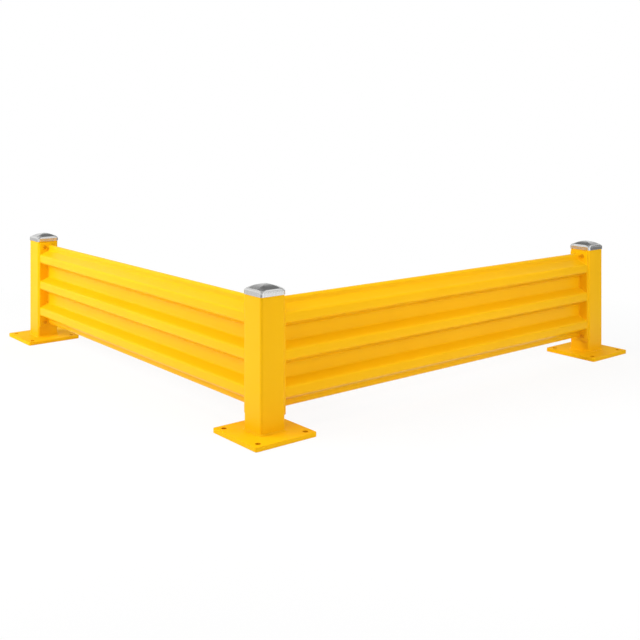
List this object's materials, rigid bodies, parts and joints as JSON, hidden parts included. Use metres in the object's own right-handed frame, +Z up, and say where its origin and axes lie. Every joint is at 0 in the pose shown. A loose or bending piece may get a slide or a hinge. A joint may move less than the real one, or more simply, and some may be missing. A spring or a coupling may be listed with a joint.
{
  "type": "corner guard rail",
  "caption": "Low yellow corner guard rail: corrugated steel rail panels bolted between square posts on drilled base plates, with bright domed post caps.",
  "frame": {"origin": "on the floor under the centre of the corner post, at the underside of its base plate", "axes": "+Z up; one arm runs towards -X and the other towards +Y; the ribs face -Y and +X, outwards from the corner"},
  "size_m": [2.0828, 2.0828, 0.5125],
  "materials": {
    "yellow_powder_coat": "satin to gloss safety-yellow powder coat on steel",
    "painted_weld": "the same powder coat over a fillet weld's ripples",
    "painted_bolt": "yellow-orange paint on hexagon bolt heads",
    "bright_cap": "bright polished metal, slightly hazy"
  },
  "bodies": {
    "root": {"corner_post": "yellow_powder_coat", "left_post": "yellow_powder_coat", "right_post": "yellow_powder_coat", "corner_base_plate": "yellow_powder_coat", "left_base_plate": "yellow_powder_coat", "right_base_plate": "yellow_powder_coat", "corner_foot_weld": "painted_weld", "left_foot_weld": "painted_weld", "right_foot_weld": "painted_weld", "corner_cap": "bright_cap", "left_cap": "bright_cap", "right_cap": "bright_cap", "left_rail_panel": "yellow_powder_coat", "right_rail_panel": "yellow_powder_coat", "left_outer_end_plate": "yellow_powder_coat", "left_inner_end_plate": "yellow_powder_coat", "right_inner_end_plate": "yellow_powder_coat", "right_outer_end_plate": "yellow_powder_coat", "left_outer_bolt_1": "painted_bolt", "left_outer_bolt_2": "painted_bolt", "left_outer_bolt_3": "painted_bolt", "left_outer_bolt_4": "painted_bolt", "left_inner_bolt_1": "painted_bolt", "left_inner_bolt_2": "painted_bolt", "left_inner_bolt_3": "painted_bolt", "left_inner_bolt_4": "painted_bolt", "right_inner_bolt_1": "painted_bolt", "right_inner_bolt_2": "painted_bolt", "right_inner_bolt_3": "painted_bolt", "right_inner_bolt_4": "painted_bolt", "right_outer_bolt_1": "painted_bolt", "right_outer_bolt_2": "painted_bolt", "right_outer_bolt_3": "painted_bolt", "right_outer_bolt_4": "painted_bolt"}
  },
  "joints": []
}
